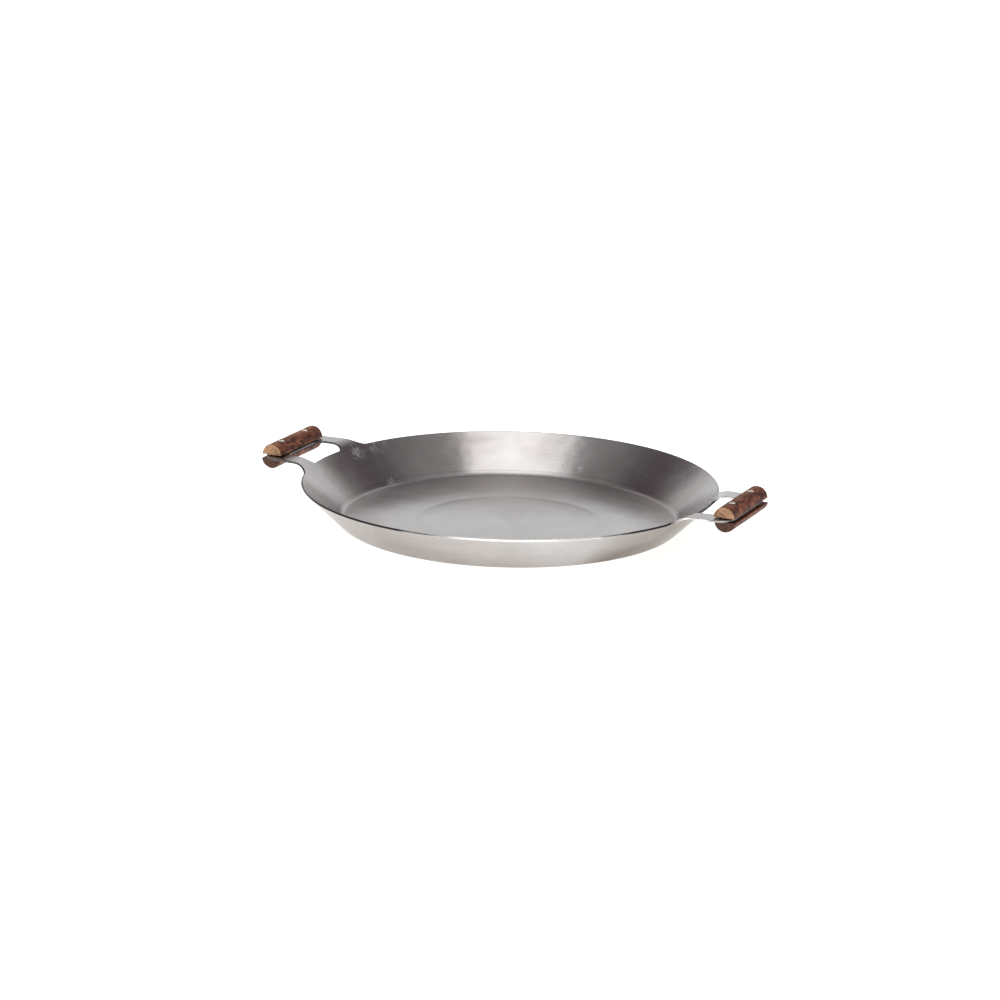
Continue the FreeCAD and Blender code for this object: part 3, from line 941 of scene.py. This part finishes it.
def steel_relief(nodes, place, radius, fine):
    """Shallow dents, the pressed disc's edge, the crease at the wall's foot, and the brushing."""
    outer = nodes.remap(radius, 200 * MM, 260 * MM, 0.3, 1.0)
    dents = nodes.times(nodes.noise(place, 15.0, detail=2), outer)
    wave = nodes.bump(dents, 0.6, 1.9 * MM)
    pressed = nodes.bump(ring(nodes, radius, DISC_LINE, 10 * MM), 0.35, -0.08 * MM, wave)
    crease = nodes.bump(ring(nodes, radius, CREASE, 2.2 * MM), 0.4, 0.2 * MM, pressed)
    return nodes.bump(fine, 0.08, 0.03 * MM, crease)


def pan_steel():
    """Brushed steel: its grooves run round the pan, and its floor is smoother than its wall."""
    nodes = Nodes(bpy.data.materials.new("pan_steel_finish"))
    place = nodes.add("TexCoord").outputs["Object"]
    radius = plan_radius(nodes, place)
    fine = nodes.noise(polar(nodes, place, radius, 5.0, 420.0), 1.0, detail=3, roughness=0.6)
    broad = nodes.noise(polar(nodes, place, radius, 2.4, 60.0), 1.0, detail=2)
    upward = nodes.dot(nodes.add("NewGeometry").outputs["Normal"], UP)
    marks = nodes.times(scratched(nodes, place), nodes.remap(upward, 0.0, 0.2))
    colour = nodes.mix(marks, steel_colour(nodes, place, radius, fine), STEEL_BARE)
    tangent = nodes.add("Tangent", direction_type="RADIAL", axis="Z")
    shader = nodes.add("BsdfPrincipled")
    shader.inputs["Metallic"].default_value = 1.0
    shader.inputs["Anisotropic"].default_value = 0.7
    shader.inputs["Anisotropic Rotation"].default_value = 0.25
    nodes.put(shader.inputs["Base Color"], colour)
    nodes.put(shader.inputs["Roughness"], steel_roughness(nodes, radius, fine, broad, marks))
    nodes.put(shader.inputs["Normal"], steel_relief(nodes, place, radius, fine))
    nodes.put(shader.inputs["Tangent"], tangent.outputs[0])
    return nodes.finish(shader)


def lip_painted_highlight(nodes, place):
    """1 where a highlight is painted: on the rim's front stretch and on the front edge of the right
    ear, and 0 elsewhere.
    """
    slow = nodes.noise(place, 25.0, detail=2)
    rim = towards(nodes, place, plan_radius(nodes, place), HIGHLIGHT_WAY)
    rim = nodes.plus(rim, nodes.remap(slow, 0.3, 0.7, -0.04, 0.04))
    normal = nodes.add("NewGeometry").outputs["Normal"]
    ear = nodes.remap(nodes.dot(normal, FRONT), 0.55, 0.85)
    ear = nodes.times(ear, nodes.remap(nodes.dot(place, RIGHT), 200 * MM, 260 * MM))
    ear = nodes.times(ear, nodes.remap(slow, 0.36, 0.50, 0.35, 1.0))
    return nodes.math("MAXIMUM", nodes.remap(rim, 0.85, 0.96), ear)


def lip_steel():
    """The cut edge of the sheet: dark all round, with a painted highlight on the rim's front stretch
    and the right ear's front edge.
    """
    nodes = Nodes(bpy.data.materials.new("pan_lip_finish"))
    place = nodes.add("TexCoord").outputs["Object"]
    grain = nodes.noise(place, 350.0, detail=3)
    toward_highlight = lip_painted_highlight(nodes, place)
    dark = nodes.ramp(grain, (0.3, LIP_DARK), (0.7, LIP_LIGHT))
    shader = nodes.add("BsdfPrincipled")
    # Painted highlight: the lip turns pale and less metallic where the mask is 1.
    nodes.put(shader.inputs["Metallic"], nodes.remap(toward_highlight, 0.0, 1.0, 0.9, 0.6))
    nodes.put(shader.inputs["Base Color"], nodes.mix(toward_highlight, dark, LIP_PAINTED_HIGHLIGHT))
    nodes.put(shader.inputs["Roughness"], nodes.remap(grain, 0.3, 0.7, 0.24, 0.32))
    nodes.put(shader.inputs["Normal"], nodes.bump(grain, 0.05, 0.02 * MM))
    return nodes.finish(shader)


def fastener_steel():
    """Bright plated steel with softened edges."""
    nodes = Nodes(bpy.data.materials.new("fastener_steel_finish"))
    place = nodes.add("TexCoord").outputs["Object"]
    grain = nodes.noise(place, 900.0, detail=3)
    plating = nodes.ramp(grain, (0.3, FASTENER_DULL), (0.7, FASTENER_BRIGHT))
    soft = nodes.add("Bevel")
    soft.inputs["Radius"].default_value = 0.25 * MM
    shader = nodes.add("BsdfPrincipled")
    shader.inputs["Metallic"].default_value = 0.45
    nodes.put(shader.inputs["Base Color"], plating)
    nodes.put(shader.inputs["Roughness"], nodes.remap(grain, 0.3, 0.7, 0.14, 0.26))
    nodes.put(shader.inputs["Normal"], nodes.bump(grain, 0.2, 0.03 * MM, soft.outputs[0]))
    return nodes.finish(shader)


def tree_rings(nodes, place):
    """How dark the tree's rings are: each darkens outwards and ends sharply."""
    split = nodes.add("SeparateXYZ")
    nodes.put(split.inputs[0], place)
    mirrored = nodes.combine(
        X=nodes.math("ABSOLUTE", split.outputs["X"]),
        Y=nodes.times(split.outputs["Y"], 0.06),
        Z=split.outputs["Z"],
    )
    bend = nodes.noise(nodes.stretch(place, (1, 0.3, 1)), 45.0, detail=2)
    warped = nodes.vector("ADD", mirrored, nodes.stretch(nodes.grey(bend), (10 * MM, 0, 10 * MM)))
    reach = nodes.vector("LENGTH", nodes.vector("SUBTRACT", warped, TREE_HEART))
    rings = nodes.math("FRACT", nodes.times(reach, TREE_RINGS))
    return nodes.ramp(rings, (0.0, 0.0), (0.7, 0.5), (0.92, 1.0), (1.0, 0.0))


def wood_side(nodes, rings, fibres, mottle, normal):
    """The stained sides: mottled, with dark rings and fibres, and rubbed paler along the crest."""
    side = nodes.ramp(mottle, *WOOD_STAIN)
    side = nodes.mix(nodes.times(rings, 0.35), side, WOOD_RING)
    side = nodes.mix(nodes.remap(fibres, 0.42, 0.75, 0.0, 0.55), side, WOOD_FIBRE)
    crest = nodes.remap(nodes.dot(normal, UP), 0.80, 0.98, 0.0, 0.3)
    crest = nodes.times(crest, nodes.remap(fibres, 0.40, 0.6))
    return nodes.mix(crest, side, WOOD_CREST)


def grip_wood(name, shade, end_light, end_dark):
    """Dark stained hardwood; its cut ends show a paler colour with the rings of the tree, darkened as
    painted shade on the lower halves.
    """
    nodes = Nodes(bpy.data.materials.new(name))
    place = nodes.add("TexCoord").outputs["Object"]
    normal = nodes.add("NewGeometry").outputs["Normal"]
    rings = tree_rings(nodes, place)
    along = nodes.stretch(place, (1, 0.10, 1))
    fibres = nodes.noise(along, 1300.0, detail=3, roughness=0.65)
    shorter = nodes.stretch(place, (1, 0.42, 1))
    mottle = nodes.noise(shorter, 150.0, detail=4, roughness=0.62, distortion=0.6)
    specks = nodes.noise(place, 420.0, detail=2)
    end = nodes.mix(nodes.times(rings, 0.55), end_light, end_dark)
    end = nodes.mix(nodes.remap(specks, 0.53, 0.66, 0.0, 0.8), end, end_dark)
    endwise = nodes.math("ABSOLUTE", nodes.dot(normal, REAR))
    endwise = nodes.plus(endwise, nodes.remap(mottle, 0.3, 0.7, -0.12, 0.12))
    side = wood_side(nodes, rings, fibres, mottle, normal)
    side = nodes.mix(nodes.remap(endwise, 0.18, 0.40, 0.0, 0.75), side, WOOD_ROUND)
    side = nodes.mix(1.0, side, shade, "MULTIPLY")
    cut = nodes.remap(endwise, 0.70, 0.86)
    rough = nodes.plus(nodes.remap(mottle, 0.3, 0.7, 0.62, 0.46), nodes.times(cut, 0.2))
    pores = nodes.bump(fibres, 0.35, 0.12 * MM)
    shader = nodes.add("BsdfPrincipled")
    shader.inputs["Specular IOR Level"].default_value = 0.16
    nodes.put(shader.inputs["Base Color"], nodes.mix(cut, side, end))
    nodes.put(shader.inputs["Roughness"], rough)
    nodes.put(shader.inputs["Normal"], nodes.bump(mottle, 0.5, 0.9 * MM, pores))
    return nodes.finish(shader)


def wear(piece, material):
    piece.data.materials.clear()
    piece.data.materials.append(material)


def hand_out_materials():
    """The sheet and its lip, a finish for each grip half, and one for the CAD's own fasteners."""
    for material in (pan_steel(), lip_steel()):
        pan.data.materials.append(material)
    for (side_name, level), piece in grips.items():
        name = f"{side_name}_{level}_wood_finish"
        wear(piece, grip_wood(name, WOOD_SHADES[side_name], *WOOD_ENDS_LOWER_PAINTED_SHADE[level]))
    fastener = fastener_steel()
    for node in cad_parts.values():
        if not node.hide_render:
            for slot in node.material_slots:
                slot.material = fastener


hand_out_materials()


# --------------------------------------------------------------------- studio

CAMERA_AZIMUTH = math.radians(24.515)
CAMERA_ELEVATION = math.radians(15.425)
CAMERA_ROLL = math.radians(1.160)
CAMERA_DISTANCE = 4.810
CAMERA_AIM = (-0.0118, -0.0074, 0.0334)
CAMERA_LENS = 123.815
CAMERA_SENSOR = 36.0
CAMERA_END = 100

FLOOR_RINGS = (0.5, 1, 2, 4, 8, 15, 30)
FLOOR_SPOKES = 96
FLOOR_COLOUR = (0.75, 0.75, 0.75, 1)
TABLE_GLOW = 0.86
GLOW_COLOUR = (1.0, 0.99, 0.97, 1)

# Colours of the surroundings against the upward part of the direction, from level to straight up.
ROOM = (
    (0.00, (0.85, 0.85, 0.85)),
    (0.24, (0.58, 0.57, 0.57)),
    (0.34, (0.39, 0.38, 0.38)),
    (0.48, (0.145, 0.120, 0.130)),
    (0.60, (0.088, 0.068, 0.078)),
    (0.70, (0.105, 0.088, 0.095)),
    (0.80, (0.25, 0.24, 0.24)),
    (0.90, (0.37, 0.36, 0.36)),
    (1.00, (0.40, 0.39, 0.39)),
)
BACKDROP = (
    (0.00, (0.82, 0.82, 0.82)),
    (0.34, (0.82, 0.82, 0.82)),
    (0.50, (0.62, 0.60, 0.60)),
    (0.62, (0.45, 0.42, 0.42)),
    (0.74, (0.12, 0.10, 0.11)),
    (0.88, (0.45, 0.44, 0.44)),
    (0.94, (1.30, 1.28, 1.27)),
    (0.97, (1.10, 1.08, 1.07)),
    (1.00, (0.45, 0.44, 0.44)),
)
# How far round from straight behind the pan the backdrop starts to fade, and has faded.
BACKDROP_WHOLE = math.radians(18)
BACKDROP_GONE = math.radians(42)

# The softbox's middle as the photographer sees it: to the right, away and up.
SOFTBOX_PLACE = (-0.15, -0.84, 3.0)
SOFTBOX_SIZE = (2.1, 1.5)
SOFTBOX_POWER = 20.5
FILL_STRENGTH = 1.5
FILL_SPREAD = math.radians(120)

HEADING = Matrix.Rotation(CAMERA_AZIMUTH, 4, "Z")


def make_camera():
    """A long lens at the photograph's viewing angle, with the photograph's slight tilt."""
    data = bpy.data.cameras.new("camera")
    data.lens = CAMERA_LENS
    data.sensor_width = CAMERA_SENSOR
    data.clip_end = CAMERA_END
    camera = bpy.data.objects.new("camera", data)
    tilt = Matrix.Rotation(math.pi / 2 - CAMERA_ELEVATION, 4, "X")
    roll = Matrix.Rotation(CAMERA_ROLL, 4, "Z")
    back = Matrix.Translation((0, 0, CAMERA_DISTANCE))
    camera.matrix_world = Matrix.Translation(CAMERA_AIM) @ HEADING @ tilt @ roll @ back
    bpy.context.scene.collection.objects.link(camera)
    bpy.context.scene.camera = camera


def make_floor():
    """A plain pale table that glows a little, so that it stays near white."""
    points, faces = rings_of_quads(FLOOR_RINGS, FLOOR_SPOKES)
    floor = new_object("studio_floor", np.column_stack((points, np.zeros(len(points)))), faces)
    nodes = Nodes(bpy.data.materials.new("studio_floor_finish"))
    shader = nodes.add("BsdfPrincipled")
    shader.inputs["Base Color"].default_value = FLOOR_COLOUR
    shader.inputs["Roughness"].default_value = 0.9
    shader.inputs["Specular IOR Level"].default_value = 0.0
    shader.inputs["Emission Color"].default_value = GLOW_COLOUR
    shader.inputs["Emission Strength"].default_value = TABLE_GLOW
    wear(floor, nodes.finish(shader))


def make_world():
    """A room that is pale low down and dark higher up, and a brighter backdrop behind the pan."""
    nodes = Nodes(bpy.data.worlds.new("studio"), "OutputWorld")
    way = nodes.add("TexCoord").outputs["Generated"]
    split = nodes.add("SeparateXYZ")
    nodes.put(split.inputs[0], way)
    level = nodes.vector("NORMALIZE", nodes.stretch(way, PLAN))
    behind = nodes.dot(level, HEADING.col[1].xyz)
    backdrop = nodes.remap(behind, math.cos(BACKDROP_GONE), math.cos(BACKDROP_WHOLE))
    upward = split.outputs["Z"]
    colour = nodes.mix(backdrop, nodes.ramp(upward, *ROOM), nodes.ramp(upward, *BACKDROP))
    background = nodes.add("Background")
    nodes.put(background.inputs[0], colour)
    bpy.context.scene.world = nodes.finish(background)


def new_lamp(name, kind, strength):
    data = bpy.data.lights.new(name, kind)
    data.energy = strength
    lamp = bpy.data.objects.new(name, data)
    bpy.context.scene.collection.objects.link(lamp)
    return lamp


def make_lights():
    """A big softbox overhead, nearer the camera, and a wide fill that only diffuse surfaces see."""
    softbox = new_lamp("softbox", "AREA", SOFTBOX_POWER)
    softbox.data.shape = "RECTANGLE"
    softbox.data.size, softbox.data.size_y = SOFTBOX_SIZE
    softbox.matrix_world = HEADING @ Matrix.Translation(SOFTBOX_PLACE)
    softbox.visible_camera = False
    fill = new_lamp("fill", "SUN", FILL_STRENGTH)
    fill.data.angle = FILL_SPREAD
    fill.visible_glossy = False


make_camera()
make_floor()
make_world()
make_lights()
bpy.context.scene.view_settings.view_transform = "Standard"
